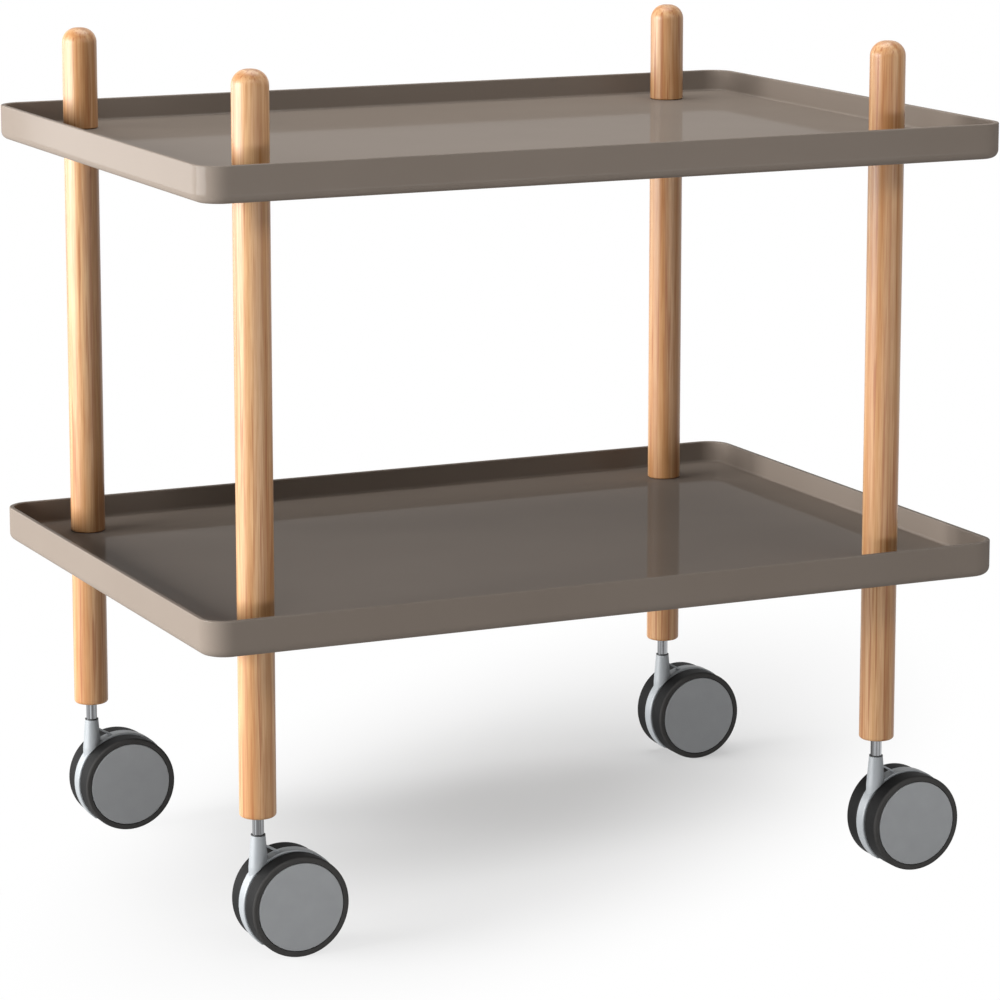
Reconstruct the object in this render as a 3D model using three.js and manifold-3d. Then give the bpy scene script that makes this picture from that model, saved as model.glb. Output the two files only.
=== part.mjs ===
// Trolley side table: two folded sheet-steel trays on four round wooden legs with twin-wheel casters.
// Millimetres. +X runs along the trays, +Y to the back and +Z up.
// The origin is on the floor, under the middle of the trays.

import * as THREE from 'three';
import { mergeVertices } from 'three/addons/utils/BufferGeometryUtils.js';
import Module from 'manifold-3d';

const wasm = await Module();
wasm.setup();

// Gaps between pieces, and how far a cutter passes the faces that it goes through
const seatGap = 0.3;
const runningGap = 0.5;
const cutOverrun = 1;

// Trays
const trayLength = 672;
const trayWidth = 476;
const trayHeight = 28;
const trayCornerRadius = 21;
const traySpacing = 333.5;
const sheet = 1.5;
const rimWidth = 4;
const rimRounding = 0.9;
const floorLift = 10;
const floorFillet = 2;
const bottomRadius = 6.5;
const flangeWidth = 11;

// Legs
const legRadius = 14;
const leftInset = 57;
const rightInset = 81;
const sideInset = 50;
const footLength = 136;
const capRise = 81.5;
const domeRadius = 12;
const clearance = 10;
const footRounding = 2.5;
const tenonChamfer = 0.8;

// Studs that clamp the leg pieces on the tray floors
const studRadius = 4;
const studGrip = 24;
const studChamfer = 1;

// Caster stems and the sockets that hold them in the legs
const casterHeight = 107.5;
const stemRadius = 4.5;
const stemInLeg = 26;
const stemShown = 15;
const stemInHood = 20;
const stemChamfer = 1;
const socketWall = 2.4;
const socketEnd = 3;

// Caster wheels
const wheelRadius = 39;
const wheelTrail = 25.5;
const wheelWidth = 16.5;
const tyreWall = 5;
const shoulderChamfer = 1.5;
const hubWeb = 3;
const hubRimWall = 2.6;
const hubBossWall = 3.2;
const axleRadius = 4;
const axleChamfer = 0.8;

// Caster hood: the disc between the wheels, the stem column and the rib that stays it
const hoodWidth = 11;
const hoodProud = 1;
const hoodChamfer = 1.2;
const hoodGround = 8;
const columnRadius = 7.5;
const columnTopRadius = 5.6;
const columnTaper = 24;
const columnLength = 32.5;
const ribDrop = 8.4;
const ribReach = 17;
const ribThickness = 1.8;
const ribWidth = 4;
const collarThickness = 0.6;

// Facet counts
const cornerSteps = 4;
const foldSteps = 3;
const rimSteps = 2;
const legSides = 16;
const domeSteps = 4;
const wheelSides = 22;
const hoodSides = 24;
const columnSides = 16;
const pinSides = 10;
const studSides = 8;

// Places worked out from the sizes above
const floorUnder = floorLift - sheet;
const lowerTrayBottom = casterHeight + footLength;
const upperTrayBottom = lowerTrayBottom + traySpacing;
const legTop = upperTrayBottom + floorLift + capRise;
const legLeft = leftInset - trayLength / 2;
const legRight = trayLength / 2 - rightInset;
const legSide = trayWidth / 2 - sideInset;
const studHole = studRadius + seatGap;
const columnTop = casterHeight - stemShown;
const wheelInner = hoodWidth / 2 + runningGap;
const wheelOuter = wheelInner + wheelWidth;
const hubRadius = wheelRadius - tyreWall;
const hoodRadius = wheelRadius + hoodProud;
const axleEnd = wheelOuter - hubWeb - seatGap;
const socketRadius = stemRadius + seatGap + socketWall;
const socketLength = stemInLeg + seatGap + socketEnd;

const paintedSteel = { color: '#8b8177', roughness: 0.35, metalness: 0.1 };
const beech = { color: '#d3a272', roughness: 0.5, metalness: 0 };
const zincSteel = { color: '#b9bbbd', roughness: 0.35, metalness: 0.9 };
const chrome = { color: '#c9cdd1', roughness: 0.12, metalness: 1 };
const silverPlastic = { color: '#b9bec4', roughness: 0.35, metalness: 0.3 };
const blackPlastic = { color: '#1f1f1f', roughness: 0.5, metalness: 0 };
const greyPlastic = { color: '#8e9092', roughness: 0.5, metalness: 0 };
const rubber = { color: '#3b3a39', roughness: 0.7, metalness: 0 };

const legs = [
  { name: 'front_left', x: legLeft, y: -legSide },
  { name: 'front_right', x: legRight, y: -legSide },
  { name: 'back_left', x: legLeft, y: legSide },
  { name: 'back_right', x: legRight, y: legSide },
];

// Merges shared corners and drops the triangles that shrink to a line on an axis.
function closed(geometry) {
  geometry.deleteAttribute('normal');
  geometry.deleteAttribute('uv');
  const merged = mergeVertices(geometry);
  const kept = [];
  for (let i = 0; i < merged.index.count; i += 3) {
    const [a, b, c] = [merged.index.getX(i), merged.index.getX(i + 1), merged.index.getX(i + 2)];
    if (a !== b && b !== c && c !== a) kept.push(a, b, c);
  }
  merged.setIndex(kept);
  return merged;
}

function toSolid(geometry) {
  const vertProperties = new Float32Array(geometry.attributes.position.array);
  const triVerts = new Uint32Array(geometry.index.array);
  return new wasm.Manifold(new wasm.Mesh({ numProp: 3, vertProperties, triVerts }));
}

function toGeometry(solid) {
  const mesh = solid.getMesh();
  const geometry = new THREE.BufferGeometry();
  geometry.setAttribute('position', new THREE.BufferAttribute(mesh.vertProperties, 3));
  geometry.setIndex(Array.from(mesh.triVerts));
  return geometry;
}

// Turns an outline of [radius, height] points, listed up its outside, round the Z axis.
function turned(outline, sides) {
  const points = outline.map(([radius, height]) => new THREE.Vector2(radius, height));
  return closed(new THREE.LatheGeometry(points, sides).rotateX(Math.PI / 2));
}

// The same round the Y axis, with a flat side underneath, as a wheel stands.
function turnedWheel(outline, sides) {
  const points = outline.map(([radius, height]) => new THREE.Vector2(radius, height));
  return closed(new THREE.LatheGeometry(points, sides, Math.PI / sides));
}

function pin(radius, low, high, chamfer, sides) {
  return turned([
    [0, low],
    [radius - chamfer, low],
    [radius, low + chamfer],
    [radius, high - chamfer],
    [radius - chamfer, high],
    [0, high],
  ], sides);
}

function plainCylinder(radius, length, sides) {
  return closed(new THREE.CylinderGeometry(radius, radius, length, sides));
}

// Points on an arc from one angle to another, in degrees, ends included.
function arc(centreX, centreY, radius, from, to, steps) {
  const points = [];
  for (let i = 0; i <= steps; i += 1) {
    const angle = THREE.MathUtils.degToRad(from + (to - from) * i / steps);
    points.push([centreX + radius * Math.cos(angle), centreY + radius * Math.sin(angle)]);
  }
  return points;
}

// Trays

// The folded sheet in section, as [inset from the outer wall, height]: from the floor's upper side,
// up the inner wall, over the flat rim, down the outer wall, round the return flange and back up
// the narrow hollow between the walls.
function traySection() {
  const rounded = trayHeight - rimRounding;
  const hollowTop = trayHeight - sheet;
  const fold = rimWidth + floorFillet;
  return [
    ...arc(fold, floorLift + floorFillet, floorFillet, 270, 180, foldSteps),
    ...arc(rimWidth - rimRounding, rounded, rimRounding, 0, 90, rimSteps),
    ...arc(rimRounding, rounded, rimRounding, 90, 180, rimSteps),
    ...arc(bottomRadius, bottomRadius, bottomRadius, 180, 270, foldSteps),
    [flangeWidth, 0],
    [flangeWidth, sheet],
    ...arc(bottomRadius, bottomRadius, bottomRadius - sheet, 270, 180, foldSteps),
    [sheet, hollowTop],
    [rimWidth - sheet, hollowTop],
    ...arc(fold, floorLift + floorFillet, floorFillet + sheet, 180, 270, foldSteps),
  ];
}

// The tray's outline, drawn in by an inset, as corner arcs run anticlockwise.
function trayRing(inset) {
  const radius = trayCornerRadius - inset;
  const x = trayLength / 2 - trayCornerRadius;
  const y = trayWidth / 2 - trayCornerRadius;
  return [
    ...arc(x, y, radius, 0, 90, cornerSteps),
    ...arc(-x, y, radius, 90, 180, cornerSteps),
    ...arc(-x, -y, radius, 180, 270, cornerSteps),
    ...arc(x, -y, radius, 270, 360, cornerSteps),
  ];
}

const lifted = (loop, height) => loop.map(([x, y]) => [x, y, height]);

// Triangles that join two loops with as many points each.
function band(first, second) {
  return first.flatMap((start, i) => {
    const next = (i + 1) % first.length;
    return [start, second[i], second[next], start, second[next], first[next]];
  });
}

// The floor in plan: its border, the stud holes and the clear middle between the legs.
function floorLoops() {
  const keep = legRadius + clearance;
  const [left, right, side] = [legLeft + keep, legRight - keep, legSide - keep];
  const holes = legs.map(({ x, y }) => arc(x, y, studHole, 0, 360, pinSides).slice(0, -1));
  const middle = [[left, -side], [right, -side], [right, side], [left, side]];
  return { border: trayRing(rimWidth + floorFillet), holes, middle };
}

// Triangles between a border and the loops inside it, anticlockwise.
function filled(border, inner) {
  const toVectors = (loop) => loop.map(([x, y]) => new THREE.Vector2(x, y));
  const points = [border, ...inner].flat();
  const faces = THREE.ShapeUtils.triangulateShape(toVectors(border), inner.map(toVectors));
  return faces.flatMap((face) => {
    const corners = face.map((i) => points[i]);
    return THREE.ShapeUtils.area(toVectors(corners)) > 0 ? corners : corners.reverse();
  });
}

function trayGeometry() {
  const { border, holes, middle } = floorLoops();
  const floor = [...filled(border, [...holes, middle]), ...filled(middle, [])];
  const rings = traySection().map(([inset, height]) => lifted(trayRing(inset), height));
  const points = [...lifted(floor, floorLift), ...lifted(floor, floorUnder).reverse()];
  for (let i = 1; i < rings.length; i += 1) points.push(...band(rings[i - 1], rings[i]));
  for (const hole of holes) points.push(...band(lifted(hole, floorUnder), lifted(hole, floorLift)));
  const tray = new THREE.BufferGeometry();
  tray.setAttribute('position', new THREE.Float32BufferAttribute(points.flat(), 3));
  return closed(tray);
}

// Legs

// The blind bore for a stud in a piece's lower end, as the start of its outline.
function lowerBore(low) {
  const depth = studGrip + seatGap;
  return [
    [0, low + depth],
    [studHole, low + depth],
    [studHole, low],
  ];
}

function upperBore(high) {
  const depth = studGrip + seatGap;
  return [
    [studHole, high],
    [studHole, high - depth],
    [0, high - depth],
  ];
}

function legCapGeometry() {
  const low = upperTrayBottom + floorLift + seatGap;
  return turned([
    ...lowerBore(low),
    [legRadius - tenonChamfer, low],
    [legRadius, low + tenonChamfer],
    ...arc(legRadius - domeRadius, legTop - domeRadius, domeRadius, 0, 90, domeSteps),
    [0, legTop],
  ], legSides);
}

function legMiddleGeometry() {
  const low = lowerTrayBottom + floorLift + seatGap;
  const high = upperTrayBottom + floorUnder - seatGap;
  return turned([
    ...lowerBore(low),
    [legRadius - tenonChamfer, low],
    [legRadius, low + tenonChamfer],
    [legRadius, high - tenonChamfer],
    [legRadius - tenonChamfer, high],
    ...upperBore(high),
  ], legSides);
}

function legFootGeometry() {
  const high = lowerTrayBottom + floorUnder - seatGap;
  const bore = socketRadius + seatGap;
  const boreTop = casterHeight + socketLength + seatGap;
  const roundCentre = legRadius - footRounding;
  return turned([
    [0, boreTop],
    [bore, boreTop],
    [bore, casterHeight],
    ...arc(roundCentre, casterHeight + footRounding, footRounding, 270, 360, foldSteps),
    [legRadius, high - tenonChamfer],
    [legRadius - tenonChamfer, high],
    ...upperBore(high),
  ], legSides);
}

function studGeometry(trayBottom) {
  const low = trayBottom + floorUnder - studGrip;
  const high = trayBottom + floorLift + studGrip;
  return pin(studRadius, low, high, studChamfer, studSides);
}

function socketGeometry() {
  const bore = stemRadius + seatGap;
  const boreTop = casterHeight + stemInLeg + seatGap;
  const top = casterHeight + socketLength;
  return turned([
    [0, boreTop],
    [bore, boreTop],
    [bore, casterHeight],
    [socketRadius, casterHeight],
    [socketRadius, top],
    [0, top],
  ], pinSides);
}

// Casters

function stemGeometry() {
  return pin(stemRadius, columnTop - stemInHood, casterHeight + stemInLeg, stemChamfer, pinSides);
}

function collarGeometry() {
  const low = columnTop + seatGap;
  const high = low + collarThickness;
  const bore = stemRadius + seatGap;
  const outer = columnTopRadius;
  return turned([[bore, low], [outer, low], [outer, high], [bore, high], [bore, low]], pinSides);
}

function hubGeometry() {
  const bore = axleRadius + seatGap;
  const boss = bore + hubBossWall;
  const web = wheelOuter - hubWeb;
  return turnedWheel([
    [0, web],
    [bore, web],
    [bore, wheelInner],
    [boss, wheelInner],
    [boss, web],
    [hubRadius - hubRimWall, web],
    [hubRadius - hubRimWall, wheelInner],
    [hubRadius, wheelInner],
    [hubRadius, wheelOuter],
    [0, wheelOuter],
  ], wheelSides);
}

// The tread's corners lie outside the wheel radius, so that its flats are at that radius.
function tyreGeometry() {
  const bore = hubRadius + seatGap;
  const tread = wheelRadius / Math.cos(Math.PI / wheelSides);
  return turnedWheel([
    [bore, wheelInner],
    [tread, wheelInner],
    [tread, wheelOuter - shoulderChamfer],
    [tread - shoulderChamfer, wheelOuter],
    [bore, wheelOuter],
    [bore, wheelInner],
  ], wheelSides);
}

function axleGeometry() {
  return pin(axleRadius, -axleEnd, axleEnd, axleChamfer, pinSides).rotateX(Math.PI / 2);
}

function hoodDisc() {
  const half = hoodWidth / 2;
  return turnedWheel([
    [0, -half],
    [hoodRadius - hoodChamfer, -half],
    [hoodRadius, hoodChamfer - half],
    [hoodRadius, half - hoodChamfer],
    [hoodRadius - hoodChamfer, half],
    [0, half],
  ], hoodSides).translate(wheelTrail, 0, wheelRadius);
}

// The column tapers towards its top, where the collar lies.
function hoodColumn() {
  const low = columnTop - columnLength;
  return turned([
    [0, low],
    [columnRadius, low],
    [columnRadius, columnTop - columnTaper],
    [columnTopRadius, columnTop],
    [0, columnTop],
  ], columnSides);
}

// The rib slopes from the column down to the disc's rim and leaves a small opening under itself.
function hoodRib() {
  const startX = columnRadius - ribThickness / 2;
  const startZ = columnTop - ribDrop;
  const endZ = wheelRadius + Math.sqrt(hoodRadius ** 2 - (wheelTrail - ribReach) ** 2);
  const side = new THREE.Shape([
    new THREE.Vector2(startX, startZ - ribThickness),
    new THREE.Vector2(ribReach, endZ - ribThickness),
    new THREE.Vector2(ribReach, endZ),
    new THREE.Vector2(startX, startZ),
  ]);
  const rib = new THREE.ExtrudeGeometry(side, { depth: ribWidth, bevelEnabled: false });
  return closed(rib.rotateX(Math.PI / 2).translate(0, ribWidth / 2, 0));
}

function hoodGeometry() {
  let hood = toSolid(hoodDisc()).add(toSolid(hoodColumn())).add(toSolid(hoodRib()));

  const drop = hoodGround - (wheelRadius - hoodRadius) + cutOverrun;
  const ground = new THREE.BoxGeometry(2 * hoodRadius, 2 * columnRadius, drop);
  ground.translate(wheelTrail, 0, hoodGround - drop / 2);
  hood = hood.subtract(toSolid(closed(ground)));

  const stemBore = plainCylinder(stemRadius + seatGap, stemInHood + seatGap + cutOverrun, pinSides);
  stemBore.rotateX(Math.PI / 2);
  stemBore.translate(0, 0, columnTop + (cutOverrun - stemInHood - seatGap) / 2);
  hood = hood.subtract(toSolid(stemBore));

  const axleBore = plainCylinder(axleRadius + seatGap, hoodWidth + 2 * cutOverrun, pinSides);
  axleBore.translate(wheelTrail, 0, wheelRadius);
  hood = hood.subtract(toSolid(axleBore));

  // The column is cut back where it would reach into the turning wheels.
  const reach = (wheelRadius / Math.cos(Math.PI / wheelSides) + runningGap) / Math.cos(Math.PI / hoodSides);
  const depth = columnRadius - hoodWidth / 2 + cutOverrun;
  for (const side of [-1, 1]) {
    const relief = plainCylinder(reach, depth, hoodSides);
    relief.translate(wheelTrail, side * (hoodWidth + depth) / 2, wheelRadius);
    hood = hood.subtract(toSolid(relief));
  }
  return toGeometry(hood);
}

// Assembly

const table = new THREE.Group();

function addPiece(parent, name, geometry, look) {
  const mesh = new THREE.Mesh(geometry, new THREE.MeshStandardMaterial(look));
  mesh.name = name;
  parent.add(mesh);
  return mesh;
}

const tray = trayGeometry();
addPiece(table, 'upper_tray', tray, paintedSteel).position.z = upperTrayBottom;
addPiece(table, 'lower_tray', tray, paintedSteel).position.z = lowerTrayBottom;

for (const { name, x, y } of legs) {
  const leg = new THREE.Group();
  leg.position.set(x, y, 0);
  table.add(leg);
  addPiece(leg, `leg_cap_${name}`, legCapGeometry(), beech);
  addPiece(leg, `leg_middle_${name}`, legMiddleGeometry(), beech);
  addPiece(leg, `leg_foot_${name}`, legFootGeometry(), beech);
  addPiece(leg, `stud_upper_${name}`, studGeometry(upperTrayBottom), zincSteel);
  addPiece(leg, `stud_lower_${name}`, studGeometry(lowerTrayBottom), zincSteel);
  addPiece(leg, `caster_socket_${name}`, socketGeometry(), zincSteel);
  addPiece(leg, `caster_stem_${name}`, stemGeometry(), chrome);
  addPiece(leg, `dust_collar_${name}`, collarGeometry(), blackPlastic);
  addPiece(leg, `caster_hood_${name}`, hoodGeometry(), silverPlastic);

  const axle = new THREE.Group();
  axle.position.set(wheelTrail, 0, wheelRadius);
  leg.add(axle);
  addPiece(axle, `axle_${name}`, axleGeometry(), zincSteel);
  for (const side of ['far', 'near']) {
    const wheel = new THREE.Group();
    wheel.rotation.z = side === 'near' ? Math.PI : 0;
    axle.add(wheel);
    addPiece(wheel, `wheel_hub_${name}_${side}`, hubGeometry(), greyPlastic);
    addPiece(wheel, `tyre_${name}_${side}`, tyreGeometry(), rubber);
  }
}

export default table;
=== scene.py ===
import math

import bmesh
import bpy
from mathutils import Matrix, Vector


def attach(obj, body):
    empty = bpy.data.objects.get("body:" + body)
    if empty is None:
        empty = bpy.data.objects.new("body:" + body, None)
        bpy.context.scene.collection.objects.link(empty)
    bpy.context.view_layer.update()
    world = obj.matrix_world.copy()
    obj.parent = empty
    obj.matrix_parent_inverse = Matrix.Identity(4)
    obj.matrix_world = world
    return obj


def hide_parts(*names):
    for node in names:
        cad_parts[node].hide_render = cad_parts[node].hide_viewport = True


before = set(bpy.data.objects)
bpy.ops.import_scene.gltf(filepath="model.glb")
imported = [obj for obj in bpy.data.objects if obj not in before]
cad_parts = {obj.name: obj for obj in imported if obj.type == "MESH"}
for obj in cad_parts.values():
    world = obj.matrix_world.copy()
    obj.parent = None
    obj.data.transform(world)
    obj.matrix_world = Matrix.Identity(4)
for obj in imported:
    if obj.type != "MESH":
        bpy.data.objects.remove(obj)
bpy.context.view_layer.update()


# Camera
# The trolley is seen from its front left, from a little above the upper tray, through a long
# lens. The lens is shifted a little, so that the legs stay nearly upright in the picture.

camera_place = (-1.3573, -2.9372, 0.9576)
# It looks to the right of +Y by its yaw and down by its pitch, in radians.
camera_yaw = 0.4353
camera_pitch = 0.179
camera_lens = 146.5
camera_sensor = 36
camera_shift = -0.1
camera_reach = 60

camera_data = bpy.data.cameras.new("camera")
camera_data.sensor_width = camera_sensor
camera_data.lens = camera_lens
camera_data.shift_y = camera_shift
camera_data.clip_end = camera_reach
camera = bpy.data.objects.new("camera", camera_data)
camera.location = camera_place
camera.rotation_euler = (math.pi / 2 - camera_pitch, 0, -camera_yaw)
bpy.context.scene.collection.objects.link(camera)
bpy.context.scene.camera = camera


# Trays
# Two shallow trays of powder-coated sheet steel. The edge is folded up, over a narrow flat rim
# and down again as an outer wall, which turns in underneath as a flange. The corners are welded
# and ground smooth, and the studs that clamp the legs go through four holes in the floor.

mm = 0.001
tray_length = 672 * mm
tray_width = 476 * mm
tray_height = 28 * mm
tray_corner = 21 * mm
tray_bottoms = {"upper": 577 * mm, "lower": 243.5 * mm}
sheet = 1.5 * mm
rim_width = 4 * mm
rim_rounding = 0.9 * mm
floor_lift = 10 * mm
floor_fillet = 2 * mm
floor_border = 1.2 * mm
bottom_radius = 6.5 * mm
flange_width = 11 * mm
seat_gap = 0.3 * mm
stud_radius = 4 * mm
stud_hole = stud_radius + seat_gap
stud_hole_sides = 24
corner_steps = 14
fold_steps = 8
rim_steps = 5
section_hold = 0.4 * mm
side_hold = 3 * mm
sharp_angle = 32

legs = {
    "front_left": (-279 * mm, -188 * mm),
    "front_right": (255 * mm, -188 * mm),
    "back_left": (-279 * mm, 188 * mm),
    "back_right": (255 * mm, 188 * mm),
}

paint_dark = "#776d64"
paint_light = "#7c7269"
paint_cloud = 90 * mm
paint_peel = 2.5 * mm


def arc(centre, radius, start, end, steps):
    """Points on an arc between two angles in degrees, ends included."""
    points = []
    for i in range(steps + 1):
        angle = math.radians(start + (end - start) * i / steps)
        points.append((centre[0] + radius * math.cos(angle), centre[1] + radius * math.sin(angle)))
    return points


def held(points, hold):
    """Adds a point near both ends of each straight over four holds long.

    The extra points keep the smooth shading of the straights flat.
    """
    out = [points[0]]
    for a, b in zip(points, points[1:]):
        length = math.dist(a, b)
        if length > 4 * hold:
            step = hold / length
            for t in (step, 1 - step):
                out.append((a[0] + (b[0] - a[0]) * t, a[1] + (b[1] - a[1]) * t))
        out.append(b)
    return out


def tray_section():
    """The folded sheet in section, as (inset from the outer wall, height)."""
    rounded = tray_height - rim_rounding
    hollow_top = tray_height - sheet
    fold = rim_width + floor_fillet
    inner_fold = (fold, floor_lift + floor_fillet)
    bottom_fold = (bottom_radius, bottom_radius)
    points = [(fold + floor_border, floor_lift)]
    points += arc(inner_fold, floor_fillet, 270, 180, fold_steps)
    points += arc((rim_width - rim_rounding, rounded), rim_rounding, 0, 90, rim_steps)
    points += arc((rim_rounding, rounded), rim_rounding, 90, 180, rim_steps)
    points += arc(bottom_fold, bottom_radius, 180, 270, fold_steps)
    points += [(flange_width, 0), (flange_width, sheet)]
    points += arc(bottom_fold, bottom_radius - sheet, 270, 180, fold_steps)
    points += [(sheet, hollow_top), (rim_width - sheet, hollow_top)]
    points += arc(inner_fold, floor_fillet + sheet, 180, 270, fold_steps)
    points += [(fold + floor_border, floor_lift - sheet)]
    return held(points, section_hold)


def tray_ring(inset):
    """The tray's outline, drawn in by an inset, anticlockwise."""
    x = tray_length / 2 - tray_corner
    y = tray_width / 2 - tray_corner
    ring = []
    for i, centre in enumerate([(x, y), (-x, y), (-x, -y), (x, -y)]):
        ring += arc(centre, tray_corner - inset, 90 * i, 90 * i + 90, corner_steps)
    return held(ring + ring[:1], side_hold)[:-1]


def loop_edges(bm, loop):
    """The edges of a closed loop of corners, made where they are missing."""
    pairs = zip(loop, loop[1:] + loop[:1])
    return [bm.edges.get((a, b)) or bm.edges.new((a, b)) for a, b in pairs]


def join_loops(bm, first, second):
    """A band of faces between two loops with as many corners."""
    count = len(first)
    for i in range(count):
        j = (i + 1) % count
        bm.faces.new((first[i], first[j], second[j], second[i]))


def finished_mesh(bm, name, sharp=sharp_angle):
    """Turns the faces outwards, shades them smoothly and keeps edges sharp beyond an angle."""
    bmesh.ops.recalc_face_normals(bm, faces=bm.faces[:])
    for face in bm.faces:
        face.smooth = True
    for edge in bm.edges:
        shared = len(edge.link_faces) == 2
        edge.smooth = not (shared and edge.calc_face_angle() > math.radians(sharp))
    mesh = bpy.data.meshes.new(name)
    bm.to_mesh(mesh)
    bm.free()
    return mesh


def tray_mesh(bottom):
    """Sweeps the section round the tray and fills its floor, above and below, round the holes."""
    bm = bmesh.new()
    rings = []
    for inset, height in tray_section():
        rings.append([bm.verts.new((x, y, bottom + height)) for x, y in tray_ring(inset)])
    for first, second in zip(rings, rings[1:]):
        join_loops(bm, first, second)
    levels = [(rings[0], floor_lift), (rings[-1], floor_lift - sheet)]
    holes = []
    for ring, height in levels:
        edges = loop_edges(bm, ring)
        circles = []
        for x, y in legs.values():
            circle = [
                bm.verts.new((u, v, bottom + height))
                for u, v in arc((x, y), stud_hole, 0, 360, stud_hole_sides)[:-1]
            ]
            circles.append(circle)
            edges += loop_edges(bm, circle)
        bmesh.ops.triangle_fill(bm, use_beauty=True, edges=edges)
        holes.append(circles)
    for top, under in zip(*holes):
        join_loops(bm, top, under)
    return finished_mesh(bm, "tray")


def linear(code):
    """An sRGB hex colour as linear RGBA."""
    parts = [int(code[i : i + 2], 16) / 255 for i in (1, 3, 5)]
    return (*[c / 12.92 if c <= 0.04045 else ((c + 0.055) / 1.055) ** 2.4 for c in parts], 1)


def add(tree, kind, inputs=None, **settings):
    """Adds a node with its settings and links, and returns it.

    Sockets that share a name go by number: in a Mix node 0 is the factor, 2 and 3 are the two
    numbers that it mixes, and 6 and 7 the two colours. The mixed colour is output 2.
    """
    node = tree.nodes.new(kind)
    for name, value in settings.items():
        setattr(node, name, value)
    for socket, value in (inputs or {}).items():
        if isinstance(value, bpy.types.NodeSocket):
            tree.links.new(value, node.inputs[socket])
        else:
            node.inputs[socket].default_value = value
    return node


def new_material(name):
    """An empty material and its node tree."""
    material = bpy.data.materials.new(name)
    material.use_nodes = True
    material.node_tree.nodes.clear()
    return material, material.node_tree


def powder_coated_steel():
    """Satin warm grey powder coat: it flows out to a faint orange peel with an even sheen.

    The shine lies in the thin clear coat alone, and the grey below it is dull.
    """
    material, tree = new_material("powder_coated_steel")
    place = add(tree, "ShaderNodeTexCoord").outputs["Object"]
    cloud = add(
        tree,
        "ShaderNodeTexNoise",
        {"Vector": place, "Scale": 1 / paint_cloud, "Detail": 2},
    )
    peel = add(
        tree,
        "ShaderNodeTexNoise",
        {"Vector": place, "Scale": 1 / paint_peel, "Detail": 1},
    )
    colour = add(
        tree,
        "ShaderNodeMix",
        {0: cloud.outputs["Fac"], 6: linear(paint_dark), 7: linear(paint_light)},
        data_type="RGBA",
    )
    sheen = add(
        tree,
        "ShaderNodeMapRange",
        {"Value": cloud.outputs["Fac"], "To Min": 0.27, "To Max": 0.33},
    )
    bump = add(
        tree,
        "ShaderNodeBump",
        {"Height": peel.outputs["Fac"], "Strength": 0.05, "Distance": 0.1 * mm},
    )
    coat = add(
        tree,
        "ShaderNodeBsdfPrincipled",
        {
            "Base Color": colour.outputs[2],
            "Roughness": sheen.outputs["Result"],
            "Normal": bump.outputs["Normal"],
            "Specular IOR Level": 0.0,
            "Coat Weight": 0.12,
            "Coat Roughness": 0.06,
        },
    )
    add(tree, "ShaderNodeOutputMaterial", {"Surface": coat.outputs["BSDF"]})
    return material


def make_piece(node, making, mesh, material, body):
    """Puts a finished piece, named for how it is made, on its body in place of its CAD node."""
    piece = bpy.data.objects.new(f"{node}_{making}", mesh)
    bpy.context.scene.collection.objects.link(piece)
    mesh.materials.append(material)
    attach(piece, body)
    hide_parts(node)


paint = powder_coated_steel()
for level, bottom in tray_bottoms.items():
    make_piece(f"{level}_tray", "folded", tray_mesh(bottom), paint, "root")


# Legs
# Round beech dowels, 28 mm thick. Each leg is three lengths, a cap, a middle and a foot, that
# the studs draw together on the tray floors. They are turned, sanded, domed on top and given a
# clear satin lacquer.

leg_radius = 14 * mm
leg_top = 668.5 * mm
dome_radius = 12 * mm
foot_rounding = 2.5 * mm
end_chamfer = 0.8 * mm
stud_grip = 24 * mm
caster_height = 107.5 * mm
stem_radius = 4.5 * mm
stem_in_leg = 26 * mm
socket_wall = 2.4 * mm
socket_end = 3 * mm
socket_radius = stem_radius + seat_gap + socket_wall
socket_length = stem_in_leg + seat_gap + socket_end
leg_sides = 64
dome_steps = 14
edge_hold = 0.3 * mm
on_axis = 0.001 * mm

beech_dark = "#aa7d51"
beech_pale = "#c09a70"
beech_fibre = "#955b2e"
beech_line = "#86481c"
streak_width = 7 * mm
band_width = 5.5 * mm
line_width = 2.2 * mm
# Beech's own fibres are far finer, and are drawn this coarse so that they show.
fibre_width = 1.6 * mm
# A small third factor draws a pattern out along the leg.
streak_run = (1, 1, 0.012)
line_run = (1, 1, 0.02)
fibre_run = (1, 1, 0.03)
# At a scale of 1, one light or dark band of the wave texture takes 0.314 m along X.
wave_band = 0.314


def turned(outline, sides):
    """Turns an outline of (radius, height) points round the Z axis into a bmesh.

    An outline that ends where it starts becomes a ring.
    """
    bm = bmesh.new()
    ring_like = outline[0] == outline[-1]
    rings = []
    for radius, height in outline[: -1 if ring_like else None]:
        if radius < on_axis:
            rings.append([bm.verts.new((0, 0, height))])
        else:
            circle = arc((0, 0), radius, 0, 360, sides)[:-1]
            rings.append([bm.verts.new((u, v, height)) for u, v in circle])
    if ring_like:
        rings.append(rings[0])
    for low, high in zip(rings, rings[1:]):
        for i in range(sides):
            j = (i + 1) % sides
            corners = [low[i % len(low)], low[j % len(low)]]
            corners += [high[j % len(high)], high[i % len(high)]]
            corners = list(dict.fromkeys(corners))
            if len(corners) > 2:
                bm.faces.new(corners)
    return bm


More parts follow.
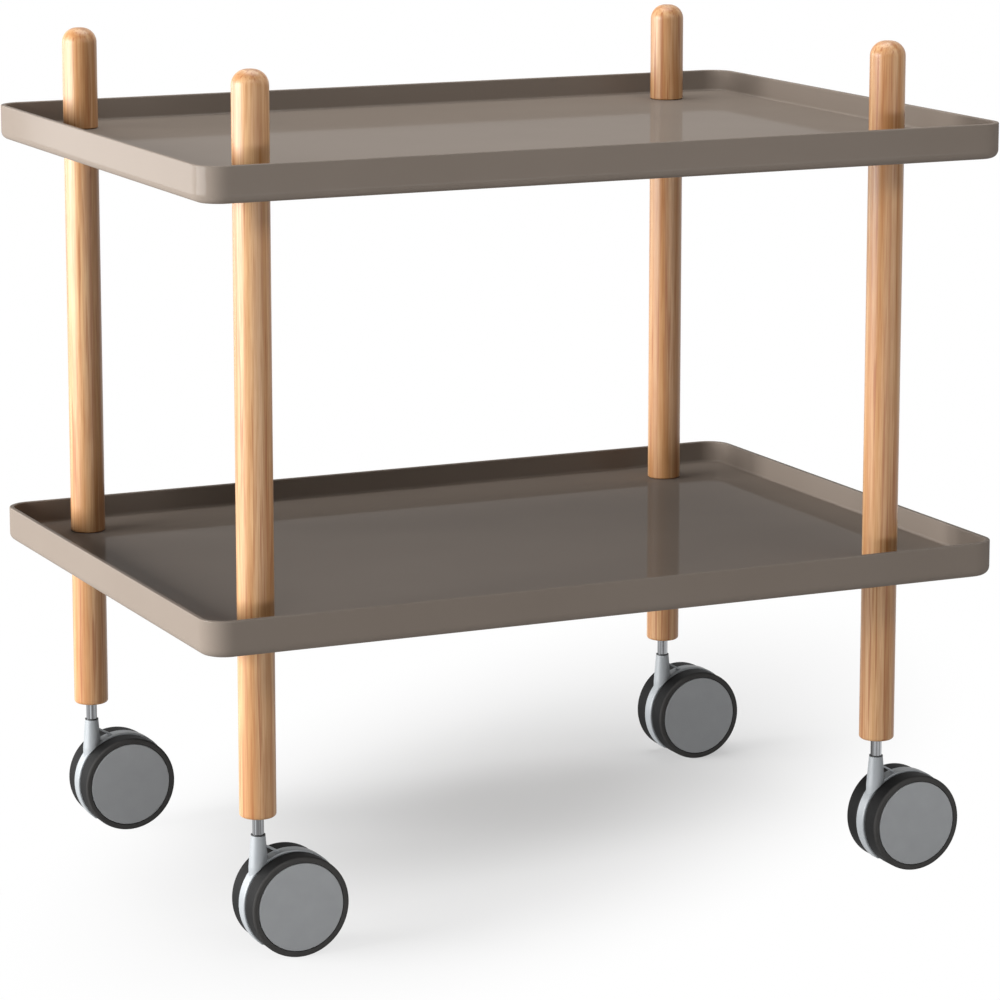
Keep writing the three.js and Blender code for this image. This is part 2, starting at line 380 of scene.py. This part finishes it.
def leg_outlines():
    """The three lengths' outlines, from the bore at the bottom round the outside to the top."""
    bore = stud_hole
    depth = stud_grip + seat_gap
    outlines = {}
    low = tray_bottoms["upper"] + floor_lift + seat_gap
    dome_centre = (leg_radius - dome_radius, leg_top - dome_radius)
    outlines["leg_cap"] = [
        (0, low + depth),
        (bore, low + depth),
        (bore, low),
        (leg_radius - end_chamfer, low),
        (leg_radius, low + end_chamfer),
        *arc(dome_centre, dome_radius, 0, 90, dome_steps),
        (0, leg_top),
    ]
    low = tray_bottoms["lower"] + floor_lift + seat_gap
    high = tray_bottoms["upper"] + floor_lift - sheet - seat_gap
    outlines["leg_middle"] = [
        (0, low + depth),
        (bore, low + depth),
        (bore, low),
        (leg_radius - end_chamfer, low),
        (leg_radius, low + end_chamfer),
        (leg_radius, high - end_chamfer),
        (leg_radius - end_chamfer, high),
        (bore, high),
        (bore, high - depth),
        (0, high - depth),
    ]
    low = caster_height
    high = tray_bottoms["lower"] + floor_lift - sheet - seat_gap
    socket_bore = socket_radius + seat_gap
    rounding_centre = (leg_radius - foot_rounding, low + foot_rounding)
    outlines["leg_foot"] = [
        (0, low + socket_length + seat_gap),
        (socket_bore, low + socket_length + seat_gap),
        (socket_bore, low),
        *arc(rounding_centre, foot_rounding, 270, 360, fold_steps),
        (leg_radius, high - end_chamfer),
        (leg_radius - end_chamfer, high),
        (bore, high),
        (bore, high - depth),
        (0, high - depth),
    ]
    return outlines


def lacquered_beech():
    """Beech under satin lacquer: straight pale grain with darker streaks and red-brown lines."""
    material, tree = new_material("lacquered_beech")
    place = add(tree, "ShaderNodeTexCoord").outputs["Object"]
    fibre_place = add(
        tree,
        "ShaderNodeVectorMath",
        {0: place, 1: fibre_run},
        operation="MULTIPLY",
    )
    streak_place = add(
        tree,
        "ShaderNodeVectorMath",
        {0: place, 1: streak_run},
        operation="MULTIPLY",
    )
    line_place = add(
        tree,
        "ShaderNodeVectorMath",
        {0: place, 1: line_run},
        operation="MULTIPLY",
    )
    streaks = add(
        tree,
        "ShaderNodeTexNoise",
        {
            "Vector": streak_place.outputs[0],
            "Scale": 1 / streak_width,
            "Detail": 3,
            "Roughness": 0.55,
        },
    )
    fibres = add(
        tree,
        "ShaderNodeTexNoise",
        {
            "Vector": fibre_place.outputs[0],
            "Scale": 1 / fibre_width,
            "Detail": 3,
            "Roughness": 0.6,
        },
    )
    lines = add(
        tree,
        "ShaderNodeTexNoise",
        {"Vector": line_place.outputs[0], "Scale": 1 / line_width, "Detail": 2},
    )
    rings = add(
        tree,
        "ShaderNodeTexWave",
        {
            "Vector": streak_place.outputs[0],
            "Scale": wave_band / band_width,
            "Distortion": 4.5,
            "Detail": 2,
            "Detail Scale": 1.2,
        },
        bands_direction="DIAGONAL",
    )
    grain = add(
        tree,
        "ShaderNodeMix",
        {0: 0.5, 2: streaks.outputs["Fac"], 3: rings.outputs["Fac"]},
        data_type="FLOAT",
    )
    body_tone = add(
        tree,
        "ShaderNodeMapRange",
        {"Value": grain.outputs[0], "From Min": 0.25, "From Max": 0.75},
    )
    body = add(
        tree,
        "ShaderNodeMix",
        {0: body_tone.outputs["Result"], 6: linear(beech_dark), 7: linear(beech_pale)},
        data_type="RGBA",
    )
    fibre_tone = add(
        tree,
        "ShaderNodeMapRange",
        {"Value": fibres.outputs["Fac"], "From Min": 0.35, "From Max": 0.65, "To Max": 0.55},
    )
    fibred = add(
        tree,
        "ShaderNodeMix",
        {0: fibre_tone.outputs["Result"], 6: body.outputs[2], 7: linear(beech_fibre)},
        data_type="RGBA",
    )
    line_tone = add(
        tree,
        "ShaderNodeMapRange",
        {"Value": lines.outputs["Fac"], "From Min": 0.56, "From Max": 0.66, "To Max": 0.6},
    )
    lined = add(
        tree,
        "ShaderNodeMix",
        {0: line_tone.outputs["Result"], 6: fibred.outputs[2], 7: linear(beech_line)},
        data_type="RGBA",
    )
    sheen = add(
        tree,
        "ShaderNodeMapRange",
        {"Value": fibres.outputs["Fac"], "To Min": 0.38, "To Max": 0.5},
    )
    bump = add(
        tree,
        "ShaderNodeBump",
        {"Height": fibres.outputs["Fac"], "Strength": 0.12, "Distance": 0.15 * mm},
    )
    wood = add(
        tree,
        "ShaderNodeBsdfPrincipled",
        {
            "Base Color": lined.outputs[2],
            "Roughness": sheen.outputs["Result"],
            "Normal": bump.outputs["Normal"],
            "IOR": 1.5,
            "Specular IOR Level": 0.2,
            "Coat Weight": 0.4,
            "Coat Roughness": 0.3,
        },
    )
    add(tree, "ShaderNodeOutputMaterial", {"Surface": wood.outputs["BSDF"]})
    return material


def moved_mesh(mesh, place):
    """A copy of a mesh, moved to its place."""
    copy = mesh.copy()
    copy.transform(Matrix.Translation(place))
    return copy


beech = lacquered_beech()
for kind, outline in leg_outlines().items():
    length = finished_mesh(turned(held(outline, edge_hold), leg_sides), kind)
    for leg, (x, y) in legs.items():
        mesh = moved_mesh(length, (x, y, 0))
        make_piece(f"{kind}_{leg}", "turned", mesh, beech, "root")


# Studs
# Steel studs, 8 mm thick, with a wood thread. One at each leg goes through each tray floor into
# the two lengths of wood, which hide it. They are zinc plated.

zinc_dark = "#aeb1b4"
zinc_light = "#c4c6c8"
zinc_cloud = 3 * mm


def zinc_plated_steel():
    """Bright zinc on drawn steel: cool grey, half dull, clouded in patches a few mm wide."""
    material, tree = new_material("zinc_plated_steel")
    place = add(tree, "ShaderNodeTexCoord").outputs["Object"]
    cloud = add(
        tree,
        "ShaderNodeTexNoise",
        {"Vector": place, "Scale": 1 / zinc_cloud, "Detail": 3},
    )
    colour = add(
        tree,
        "ShaderNodeMix",
        {0: cloud.outputs["Fac"], 6: linear(zinc_dark), 7: linear(zinc_light)},
        data_type="RGBA",
    )
    dull = add(
        tree,
        "ShaderNodeMapRange",
        {"Value": cloud.outputs["Fac"], "To Min": 0.3, "To Max": 0.5},
    )
    metal = add(
        tree,
        "ShaderNodeBsdfPrincipled",
        {"Base Color": colour.outputs[2], "Roughness": dull.outputs["Result"], "Metallic": 1},
    )
    add(tree, "ShaderNodeOutputMaterial", {"Surface": metal.outputs["BSDF"]})
    return material


def finish_node(node, material):
    """Gives its real finish to a CAD node that stays in the scene."""
    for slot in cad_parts[node].material_slots:
        slot.material = material


zinc = zinc_plated_steel()
for leg in legs:
    for level in tray_bottoms:
        finish_node(f"stud_{level}_{leg}", zinc)


# Caster sockets, stems and collars
# A zinc-plated steel socket, pressed into the end of each leg, holds the caster's chromed stem,
# on which the caster swivels. A thin black nylon collar lies on the caster's column, round the
# stem, and keeps dust out.

stem_shown = 15 * mm
stem_in_hood = 20 * mm
stem_chamfer = 1 * mm
socket_edge = 0.4 * mm
column_top_radius = 5.6 * mm
collar_thickness = 0.6 * mm
column_top = caster_height - stem_shown
pin_sides = 48

# The stem's dark and light lines are painted reflection: they stand for the streaked reflections
# of the room in the chrome.
chrome_reflection_dark = "#6f6f70"
chrome_reflection_light = "#b4b6b9"
# The lines that drawing leaves are finer; these painted reflection lines are drawn this coarse so
# that they show.
reflection_line_width = 1.8 * mm
reflection_line_run = (1, 1, 0.01)
black_nylon_dark = "#191919"
black_nylon_light = "#222222"
nylon_cloud = 14 * mm
# A mould's spark marks are about 0.1 mm wide, and are drawn this coarse so that they show.
nylon_spark = 0.8 * mm
nylon_roughness_spread = 0.05


def socket_outline():
    """The socket, closed at the top, with both edges of its mouth broken."""
    bore = stem_radius + seat_gap
    bore_top = caster_height + stem_in_leg + seat_gap
    top = caster_height + socket_length
    return [
        (0, bore_top),
        (bore, bore_top),
        (bore, caster_height + socket_edge),
        (bore + socket_edge, caster_height),
        (socket_radius - socket_edge, caster_height),
        (socket_radius, caster_height + socket_edge),
        (socket_radius, top),
        (0, top),
    ]


def stem_outline():
    """The stem, from inside the hood's column up into the socket."""
    low = column_top - stem_in_hood
    high = caster_height + stem_in_leg
    return [
        (0, low),
        (stem_radius - stem_chamfer, low),
        (stem_radius, low + stem_chamfer),
        (stem_radius, high - stem_chamfer),
        (stem_radius - stem_chamfer, high),
        (0, high),
    ]


def collar_outline():
    """The collar: a thin ring with a round rim, just above the column."""
    low = column_top + seat_gap
    high = low + collar_thickness
    bore = stem_radius + seat_gap
    round_over = collar_thickness / 2
    rim_centre = (column_top_radius - round_over, low + round_over)
    rim = arc(rim_centre, round_over, -90, 90, fold_steps)
    return [(bore, low), *rim, (bore, high), (bore, low)]


def chromed_steel():
    """Chrome plate over drawn steel: bright, with dark and light lines along the stem that are
    painted reflection over the faint lines that drawing leaves.
    """
    material, tree = new_material("chromed_steel")
    place = add(tree, "ShaderNodeTexCoord").outputs["Object"]
    reflection_line_place = add(
        tree,
        "ShaderNodeVectorMath",
        {0: place, 1: reflection_line_run},
        operation="MULTIPLY",
    )
    lines = add(
        tree,
        "ShaderNodeTexNoise",
        {"Vector": reflection_line_place.outputs[0], "Scale": 1 / reflection_line_width, "Detail": 1},
    )
    line_tone = add(
        tree,
        "ShaderNodeMapRange",
        {"Value": lines.outputs["Fac"], "From Min": 0.38, "From Max": 0.62},
    )
    # Painted reflection: the dark and light of the lines go into the base colour.
    colour = add(
        tree,
        "ShaderNodeMix",
        {0: line_tone.outputs["Result"], 6: linear(chrome_reflection_dark), 7: linear(chrome_reflection_light)},
        data_type="RGBA",
    )
    gloss = add(
        tree,
        "ShaderNodeMapRange",
        {"Value": lines.outputs["Fac"], "To Min": 0.14, "To Max": 0.24},
    )
    metal = add(
        tree,
        "ShaderNodeBsdfPrincipled",
        {"Base Color": colour.outputs[2], "Roughness": gloss.outputs["Result"], "Metallic": 1},
    )
    add(tree, "ShaderNodeOutputMaterial", {"Surface": metal.outputs["BSDF"]})
    return material


def moulded_nylon(name, dark, light, roughness, metallic=0.0, shine=0.5):
    """Moulded nylon: an even colour, half dull from the spark texture that the mould leaves."""
    material, tree = new_material(name)
    place = add(tree, "ShaderNodeTexCoord").outputs["Object"]
    spark = add(
        tree,
        "ShaderNodeTexNoise",
        {"Vector": place, "Scale": 1 / nylon_spark, "Detail": 2},
    )
    cloud = add(
        tree,
        "ShaderNodeTexNoise",
        {"Vector": place, "Scale": 1 / nylon_cloud, "Detail": 2},
    )
    colour = add(
        tree,
        "ShaderNodeMix",
        {0: cloud.outputs["Fac"], 6: linear(dark), 7: linear(light)},
        data_type="RGBA",
    )
    sheen = add(
        tree,
        "ShaderNodeMapRange",
        {
            "Value": spark.outputs["Fac"],
            "To Min": roughness - nylon_roughness_spread,
            "To Max": roughness + nylon_roughness_spread,
        },
    )
    bump = add(
        tree,
        "ShaderNodeBump",
        {"Height": spark.outputs["Fac"], "Strength": 0.15, "Distance": 0.05 * mm},
    )
    nylon = add(
        tree,
        "ShaderNodeBsdfPrincipled",
        {
            "Base Color": colour.outputs[2],
            "Roughness": sheen.outputs["Result"],
            "Normal": bump.outputs["Normal"],
            "Metallic": metallic,
            "Specular IOR Level": shine,
        },
    )
    add(tree, "ShaderNodeOutputMaterial", {"Surface": nylon.outputs["BSDF"]})
    return material


chrome = chromed_steel()
black_nylon = moulded_nylon(
    "black_moulded_nylon", black_nylon_dark, black_nylon_light, roughness=0.5
)
socket = finished_mesh(turned(held(socket_outline(), edge_hold), pin_sides), "socket")
stem = finished_mesh(turned(held(stem_outline(), edge_hold), pin_sides), "stem")
collar = finished_mesh(turned(collar_outline(), pin_sides), "collar")
for leg, (x, y) in legs.items():
    mesh = moved_mesh(socket, (x, y, 0))
    make_piece(f"caster_socket_{leg}", "turned", mesh, zinc, "root")
    mesh = moved_mesh(stem, (x, y, 0))
    make_piece(f"caster_stem_{leg}", "turned", mesh, chrome, "root")
    mesh = moved_mesh(collar, (x, y, 0))
    body = f"swivel_{leg}"
    make_piece(f"dust_collar_{leg}", "moulded", mesh, black_nylon, body)


# Caster hoods
# The hood is the caster's body: a slim disc between the wheels, with the column that sits on the
# stem and a small rib that stays the column. It is one nylon moulding, lacquered silver.

wheel_radius = 39 * mm
wheel_trail = 25.5 * mm
running_gap = 0.5 * mm
hood_width = 11 * mm
hood_proud = 1 * mm
hood_ground = 8 * mm
hood_edge = 1.2 * mm
column_radius = 7.5 * mm
column_taper = 24 * mm
column_length = 32.5 * mm
column_edge = 0.3 * mm
column_rooted = 0.3 * mm
rib_drop = 8.4 * mm
rib_reach = 17 * mm
rib_thickness = 1.8 * mm
rib_width = 4 * mm
rib_rounding = 0.4 * mm
rib_rooted = 2 * mm
axle_radius = 4 * mm
axle_bore = axle_radius + seat_gap
hood_radius = wheel_radius + hood_proud
overrun = 1 * mm
weld_distance = 0.001 * mm
hood_sides = 96
column_sides = 48
block_sides = 4
small_edge_steps = 4
hood_sharp_angle = 28

silver_dark = "#868a8d"
silver_light = "#8f9396"

axle_place = (wheel_trail, 0, wheel_radius)
upright_to_axle = Matrix.Rotation(math.radians(90), 4, "X")


def as_tool(bm):
    """An object for the booleans, which run in millimetres, where the solver rounds less."""
    bmesh.ops.transform(bm, matrix=Matrix.Scale(1 / mm, 4), verts=bm.verts[:])
    mesh = bpy.data.meshes.new("tool")
    bm.to_mesh(mesh)
    bm.free()
    tool = bpy.data.objects.new("tool", mesh)
    bpy.context.scene.collection.objects.link(tool)
    return tool


def solid(outline, sides, turn=None, move=None):
    """A turned solid as an object for the booleans."""
    bm = turned(outline, sides)
    bmesh.ops.recalc_face_normals(bm, faces=bm.faces[:])
    if turn:
        bmesh.ops.transform(bm, matrix=turn, verts=bm.verts[:])
    if move:
        bmesh.ops.translate(bm, vec=move, verts=bm.verts[:])
    return as_tool(bm)


def solid_on_axle(outline, sides):
    """A turned solid that lies along the caster's axle."""
    return solid(outline, sides, upright_to_axle, axle_place)


def plain_outline(radius, low, high):
    """A plain cylinder between two heights."""
    return [(0, low), (radius, low), (radius, high), (0, high)]


def column_outline():
    """The column, straight at first and then tapered up to its top."""
    low = column_top - column_length
    edge_centre = (column_top_radius - column_edge, column_top - column_edge)
    edge = arc(edge_centre, column_edge, 0, 90, small_edge_steps)
    shoulder = (column_radius, column_top - column_taper)
    return held([(0, low), (column_radius, low), shoulder, *edge, (0, column_top)], edge_hold)


def disc_outline():
    """The disc between the wheels, with rounded edges."""
    half = hood_width / 2
    edge = arc((hood_radius - hood_edge, half - hood_edge), hood_edge, 0, 90, fold_steps)
    other_edge = [(radius, -height) for radius, height in reversed(edge)]
    return held([(0, -half), *other_edge, *edge, (0, half)], edge_hold)


def rib_tool():
    """The rib slopes from inside the column down into the disc's edge, with rounded edges."""
    start = (column_radius - rib_thickness / 2, column_top - rib_drop)
    rim = wheel_radius + math.sqrt(hood_radius**2 - (wheel_trail - rib_reach) ** 2)
    slope = (rim - start[1]) / (rib_reach - start[0])
    across = rib_width / 2 - rib_rounding
    up = rib_thickness / 2 - rib_rounding
    section = []
    for i, centre in enumerate([(across, up), (-across, up), (-across, -up), (across, -up)]):
        section += arc(centre, rib_rounding, 90 * i, 90 * i + 90, small_edge_steps)
    bm = bmesh.new()
    ends = []
    for x in (start[0] - rib_rooted, rib_reach + rib_rooted):
        middle = start[1] - rib_thickness / 2 + (x - start[0]) * slope
        ends.append([bm.verts.new((x, y, middle + z)) for y, z in section])
    join_loops(bm, *ends)
    for end in ends:
        bm.faces.new(end)
    bmesh.ops.recalc_face_normals(bm, faces=bm.faces[:])
    return as_tool(bm)


def hood_mesh():
    """Cuts the column clear of the wheels and joins it and the rib to the disc.

    Then it cuts the disc off flat above the ground, and bores it for the stem and the axle.
    """
    stem_bore = stem_radius + seat_gap
    bore_bottom = column_top - stem_in_hood - seat_gap
    relief = wheel_radius + running_gap
    inside = hood_width / 2 - column_rooted
    outside = column_radius + overrun
    ground_block = plain_outline(2 * hood_radius, -hood_radius, hood_ground)
    stem_hole = plain_outline(stem_bore, bore_bottom, column_top + overrun)
    steps = [
        ("DIFFERENCE", solid_on_axle(plain_outline(relief, inside, outside), hood_sides)),
        ("DIFFERENCE", solid_on_axle(plain_outline(relief, -outside, -inside), hood_sides)),
        ("UNION", solid_on_axle(disc_outline(), hood_sides)),
        ("UNION", rib_tool()),
        ("DIFFERENCE", solid(ground_block, block_sides, move=(wheel_trail, 0, 0))),
        ("DIFFERENCE", solid(stem_hole, pin_sides)),
        ("DIFFERENCE", solid_on_axle(plain_outline(axle_bore, -outside, outside), pin_sides)),
    ]
    column = solid(column_outline(), column_sides)
    for operation, tool in steps:
        step = column.modifiers.new("step", "BOOLEAN")
        step.operation = operation
        step.solver = "EXACT"
        step.object = tool
    bpy.context.view_layer.update()
    shape = column.evaluated_get(bpy.context.evaluated_depsgraph_get())
    bm = bmesh.new()
    bm.from_mesh(bpy.data.meshes.new_from_object(shape))
    for tool in [column, *[tool for operation, tool in steps]]:
        bpy.data.objects.remove(tool)
    bmesh.ops.transform(bm, matrix=Matrix.Scale(mm, 4), verts=bm.verts[:])
    bmesh.ops.remove_doubles(bm, verts=bm.verts[:], dist=weld_distance)
    return finished_mesh(bm, "hood", hood_sharp_angle)


# The silver lacquer gives a pale cool grey with a little metal in its shine.
silver = moulded_nylon(
    "silver_lacquered_nylon", silver_dark, silver_light, roughness=0.45, metallic=0.1
)
hood = hood_mesh()
for leg, (x, y) in legs.items():
    mesh = moved_mesh(hood, (x, y, 0))
    body = f"swivel_{leg}"
    make_piece(f"caster_hood_{leg}", "moulded", mesh, silver, body)


# Wheels
# Each caster has two wheels: a grey nylon disc, closed on its outer face, with a soft charcoal
# tyre moulded round it. The wheels run on the ends of the caster's axle.

wheel_width = 16.5 * mm
tyre_wall = 5 * mm
tyre_lip = 0.4 * mm
shoulder_radius = 1.8 * mm
tread_edge = 1.8 * mm
hub_edge = 0.5 * mm
hub_web = 3 * mm
hub_rim_wall = 2.6 * mm
hub_boss_wall = 3.2 * mm
wheel_inner = hood_width / 2 + running_gap
wheel_outer = wheel_inner + wheel_width
hub_radius = wheel_radius - tyre_wall
wheel_sides = 96
tread_edge_steps = 5
shoulder_steps = 7

hub_dark = "#939597"
hub_light = "#9c9ea0"
side_wall_dark = "#383736"
side_wall_light = "#434241"
# The tread's near black is painted shade; the side walls carry the rubber's own charcoal.
painted_tread_shade = "#060606"
rubber_cloud = 10 * mm
# The rubber's own grain is finer, and is drawn this coarse so that it shows.
rubber_grain = 1.1 * mm


def hub_outline():
    """The hub: a boss round the axle and a rim, joined by the closed outer face."""
    bore = axle_bore
    boss = bore + hub_boss_wall
    web = wheel_outer - hub_web
    rim = hub_radius - hub_rim_wall
    edge_centre = (hub_radius - hub_edge, wheel_outer - hub_edge)
    return [
        (0, web),
        (bore, web),
        (bore, wheel_inner),
        (boss, wheel_inner),
        (boss, web),
        (rim, web),
        (rim, wheel_inner),
        (hub_radius, wheel_inner),
        *arc(edge_centre, hub_edge, 0, 90, small_edge_steps),
        (0, wheel_outer),
    ]


def tyre_outline():
    """The tyre: a ring with a round inner edge and a round outer shoulder."""
    bore = hub_radius + seat_gap
    inner_centre = (wheel_radius - tread_edge, wheel_inner + tread_edge)
    shoulder_centre = (wheel_radius - shoulder_radius, wheel_outer - shoulder_radius)
    return [
        (bore, wheel_inner),
        *arc(inner_centre, tread_edge, -90, 0, tread_edge_steps),
        *arc(shoulder_centre, shoulder_radius, 0, 90, shoulder_steps),
        (bore + tyre_lip, wheel_outer),
        (bore, wheel_outer - tyre_lip),
        (bore, wheel_inner),
    ]


def soft_rubber():
    """Soft rubber, moulded dull: a charcoal side wall, and a tread painted nearly black as painted
    shade.
    """
    material, tree = new_material("soft_tread_rubber")
    place = add(tree, "ShaderNodeTexCoord").outputs["Object"]
    grain = add(
        tree,
        "ShaderNodeTexNoise",
        {"Vector": place, "Scale": 1 / rubber_grain, "Detail": 3},
    )
    cloud = add(
        tree,
        "ShaderNodeTexNoise",
        {"Vector": place, "Scale": 1 / rubber_cloud, "Detail": 2},
    )
    facing = add(tree, "ShaderNodeTexCoord").outputs["Normal"]
    along_axle = add(tree, "ShaderNodeSeparateXYZ", {0: facing}).outputs["Y"]
    sideways = add(tree, "ShaderNodeMath", {0: along_axle}, operation="ABSOLUTE")
    side_wall = add(
        tree,
        "ShaderNodeMix",
        {0: cloud.outputs["Fac"], 6: linear(side_wall_dark), 7: linear(side_wall_light)},
        data_type="RGBA",
    )
    # Painted shade: faces across the axle, the tread, get the near black, and faces along it the
    # side wall.
    colour = add(
        tree,
        "ShaderNodeMix",
        {0: sideways.outputs[0], 6: linear(painted_tread_shade), 7: side_wall.outputs[2]},
        data_type="RGBA",
    )
    dull = add(
        tree,
        "ShaderNodeMapRange",
        {"Value": grain.outputs["Fac"], "To Min": 0.6, "To Max": 0.75},
    )
    bump = add(
        tree,
        "ShaderNodeBump",
        {"Height": grain.outputs["Fac"], "Strength": 0.25, "Distance": 0.1 * mm},
    )
    rubber = add(
        tree,
        "ShaderNodeBsdfPrincipled",
        {
            "Base Color": colour.outputs[2],
            "Roughness": dull.outputs["Result"],
            "Normal": bump.outputs["Normal"],
            "Specular IOR Level": 0.12,
        },
    )
    add(tree, "ShaderNodeOutputMaterial", {"Surface": rubber.outputs["BSDF"]})
    return material


def wheel_mesh(outline, name, side):
    """A turned wheel piece, laid on its axle with its closed face away from the hood."""
    turn = Matrix.Rotation(math.radians(-90 if side == "far" else 90), 4, "X")
    bm = turned(held(outline, edge_hold), wheel_sides)
    bmesh.ops.transform(bm, matrix=turn, verts=bm.verts[:])
    return finished_mesh(bm, name)


grey_nylon = moulded_nylon(
    "grey_moulded_nylon", hub_dark, hub_light, roughness=0.6, shine=0.3
)
rubber = soft_rubber()
for side in ("far", "near"):
    hub = wheel_mesh(hub_outline(), "hub", side)
    tyre = wheel_mesh(tyre_outline(), "tyre", side)
    for leg, (x, y) in legs.items():
        place = (x + wheel_trail, y, wheel_radius)
        wheel = f"{leg}_{side}"
        body = f"wheel_{wheel}"
        mesh = moved_mesh(hub, place)
        make_piece(f"wheel_hub_{wheel}", "moulded", mesh, grey_nylon, body)
        mesh = moved_mesh(tyre, place)
        make_piece(f"tyre_{wheel}", "moulded", mesh, rubber, body)


# Axles
# A plain zinc-plated steel pin, 8 mm thick, goes through each hood into both of its wheels,
# which hide it.

for leg in legs:
    finish_node(f"axle_{leg}", zinc)


# Studio
# A pale floor that keeps the trolley's shadow and fades into a white surround. Most light comes
# from a large soft light on the left. A small one behind it, one above, two narrow ones in front
# and a faint room light fill in.

floor_half = 2.2
floor_level = 0
paper_grey = "#b6b6b6"
paper_lift = 0.3
white_strength = 1.0
room_strength = 0.04
# The floor keeps the lamps' shadow in an oval and is painted white beyond it, so the oval's place,
# turn and size draw the shadow's painted outline. The fade runs outwards in parts of its half
# widths.
shadow_centre = (0.115, 0.153, 0)
shadow_turn = 41.6
shadow_half = (0.641, 0.264, 1)
fade_start = 0.09
fade_end = 1.23


def seen_ray(tree):
    """1 for camera, glossy and transmission rays, which see the white surround."""
    path = add(tree, "ShaderNodeLightPath").outputs
    seen = add(
        tree,
        "ShaderNodeMath",
        {0: path["Is Camera Ray"], 1: path["Is Glossy Ray"]},
        operation="MAXIMUM",
    )
    return add(
        tree,
        "ShaderNodeMath",
        {0: seen.outputs[0], 1: path["Is Transmission Ray"]},
        operation="MAXIMUM",
    ).outputs[0]


def studio_floor():
    """Pale grey paper, lifted a little for the rays that see it, that fades into white."""
    material, tree = new_material("studio_floor")
    place = add(tree, "ShaderNodeTexCoord").outputs["Object"]
    oval = add(
        tree,
        "ShaderNodeMapping",
        {
            "Vector": place,
            "Location": shadow_centre,
            "Rotation": (0, 0, math.radians(shadow_turn)),
            "Scale": shadow_half,
        },
        vector_type="TEXTURE",
    )
    away = add(tree, "ShaderNodeVectorMath", {0: oval.outputs[0]}, operation="LENGTH")
    # Painted light: beyond the oval the fade turns the floor white over the shadow.
    fade = add(
        tree,
        "ShaderNodeMapRange",
        {"Value": away.outputs["Value"], "From Min": fade_start, "From Max": fade_end},
        interpolation_type="SMOOTHSTEP",
    )
    paper = add(tree, "ShaderNodeBsdfDiffuse", {"Color": linear(paper_grey)})
    lift = add(tree, "ShaderNodeEmission", {"Strength": paper_lift})
    lifted = add(tree, "ShaderNodeAddShader", {0: paper.outputs[0], 1: lift.outputs[0]})
    white = add(tree, "ShaderNodeEmission", {"Strength": white_strength})
    seen = seen_ray(tree)
    near = add(
        tree,
        "ShaderNodeMixShader",
        {0: seen, 1: paper.outputs[0], 2: lifted.outputs[0]},
    )
    seen_fade = add(
        tree,
        "ShaderNodeMath",
        {0: seen, 1: fade.outputs["Result"]},
        operation="MULTIPLY",
    )
    surface = add(
        tree,
        "ShaderNodeMixShader",
        {0: seen_fade.outputs[0], 1: near.outputs[0], 2: white.outputs[0]},
    )
    add(tree, "ShaderNodeOutputMaterial", {"Surface": surface.outputs[0]})
    return material


bm = bmesh.new()
corners = [(-1, -1), (1, -1), (1, 1), (-1, 1)]
bm.faces.new([bm.verts.new((floor_half * u, floor_half * v, floor_level)) for u, v in corners])
floor_mesh = bpy.data.meshes.new("studio_floor")
bm.to_mesh(floor_mesh)
bm.free()
floor = bpy.data.objects.new("studio_floor", floor_mesh)
floor_mesh.materials.append(studio_floor())
bpy.context.scene.collection.objects.link(floor)


def soft_light(name, place, aim, size, watts):
    """A rectangular soft light, unseen by the camera, of a width and height in metres."""
    data = bpy.data.lights.new(name, "AREA")
    data.shape = "RECTANGLE"
    data.size, data.size_y = size
    data.energy = watts
    light = bpy.data.objects.new(name, data)
    light.visible_camera = False
    light.location = place
    light.rotation_euler = (Vector(aim) - Vector(place)).to_track_quat("-Z", "Y").to_euler()
    bpy.context.scene.collection.objects.link(light)


soft_light(
    "left_light", place=(-3.13, 0.3, 0.74), aim=(0, 0, 0.45), size=(2.6, 1.5), watts=234
)
soft_light(
    "left_back_light", place=(-1.7, 1.9, 0.55), aim=(-0.2, 0, 0.35), size=(1.6, 0.9), watts=23
)
soft_light("top_light", place=(0.1, 0.25, 2.2), aim=(0.05, 0.1, 0), size=(1.4, 1.4), watts=32)
soft_light("low_light", place=(0.3, -2.2, 0.15), aim=(0.3, 0, 0.15), size=(3.0, 0.25), watts=15)
soft_light("front_light", place=(0.2, -1.0, 1.2), aim=(0.2, 0, 0.5), size=(2.4, 0.3), watts=7)

world = bpy.data.worlds.new("room")
bpy.context.scene.world = world
world.use_nodes = True
tree = world.node_tree
tree.nodes.clear()
room = add(tree, "ShaderNodeBackground", {"Color": (1, 1, 1, 1), "Strength": room_strength})
white = add(tree, "ShaderNodeBackground", {"Color": (1, 1, 1, 1), "Strength": white_strength})
surround = add(
    tree,
    "ShaderNodeMixShader",
    {0: seen_ray(tree), 1: room.outputs[0], 2: white.outputs[0]},
)
add(tree, "ShaderNodeOutputWorld", {"Surface": surround.outputs[0]})

bpy.context.scene.view_settings.view_transform = "Standard"
